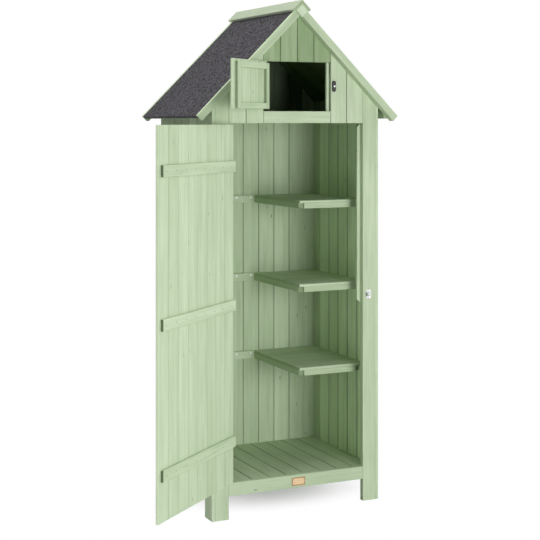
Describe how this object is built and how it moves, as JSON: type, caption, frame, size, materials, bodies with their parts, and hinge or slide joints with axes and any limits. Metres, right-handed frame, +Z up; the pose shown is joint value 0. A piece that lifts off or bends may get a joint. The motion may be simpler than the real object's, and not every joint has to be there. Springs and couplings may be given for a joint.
{
  "type": "garden shed",
  "caption": "Narrow wooden tool shed on short legs, with a steep felted gable roof, a tall ledged door, side shelves and a hatch to a small loft.",
  "frame": {"origin": "on the ground, below the middle of the shed's body", "axes": "+Z up, -Y out of the front with the door, +X to the right seen from the front"},
  "size_m": [1.0271, 0.8717, 1.7621],
  "materials": {
    "painted_wood": "sage green wood stain over softwood boards, matt, grain showing",
    "roofing_felt": "charcoal mineral roofing felt",
    "zinc_plated_steel": "zinc plated, satin",
    "dark_plastic": "dark brown moulded plastic, satin",
    "brass": "thin pressed brass plate, satin"
  },
  "bodies": {
    "shed": {"left_legs": "painted_wood", "right_legs": "painted_wood", "left_wall": "painted_wood", "right_wall": "painted_wood", "front_left_post": "painted_wood", "front_right_post": "painted_wood", "rear_left_post": "painted_wood", "rear_right_post": "painted_wood", "back_wall": "painted_wood", "front_rail": "painted_wood", "floor": "painted_wood", "floor_bearers": "painted_wood", "back_rails": "painted_wood", "lower_shelf": "painted_wood", "middle_shelf": "painted_wood", "upper_shelf": "painted_wood", "shelf_end_battens": "painted_wood", "shelf_front_battens": "painted_wood", "loft_ledgers": "painted_wood", "loft_floor": "painted_wood", "gable_left": "painted_wood", "gable_right": "painted_wood", "gable_top": "painted_wood", "hatch_sill": "painted_wood", "hatch_stop": "painted_wood", "roof_deck_left": "painted_wood", "roof_deck_right": "painted_wood", "roof_felt_left": "roofing_felt", "roof_felt_right": "roofing_felt", "left_barge_boards": "painted_wood", "right_barge_boards": "painted_wood", "left_soffit_battens": "painted_wood", "right_soffit_battens": "painted_wood", "eave_battens": "painted_wood", "ridge_cap_left": "painted_wood", "ridge_cap_right": "painted_wood", "ridge_end_blocks": "painted_wood", "door_stop": "painted_wood", "bolt_keeper": "zinc_plated_steel", "post_hinge_leaves": "zinc_plated_steel", "hinge_pins": "zinc_plated_steel", "hatch_door": "painted_wood", "hatch_rails": "painted_wood", "hatch_stiles": "painted_wood", "hatch_hinges": "zinc_plated_steel", "hatch_turn_button": "dark_plastic"},
    "door": {"door_panel": "painted_wood", "door_ledges": "painted_wood", "door_hinge_leaves": "zinc_plated_steel", "door_bolt": "zinc_plated_steel"}
  },
  "joints": [
    {"name": "door_hinge", "type": "hinge", "parent": "shed", "child": "door", "pos_m": [-0.2555, -0.2505, 0.7], "axis": [0, 0, -1], "range_deg": [-140, 40]}
  ]
}
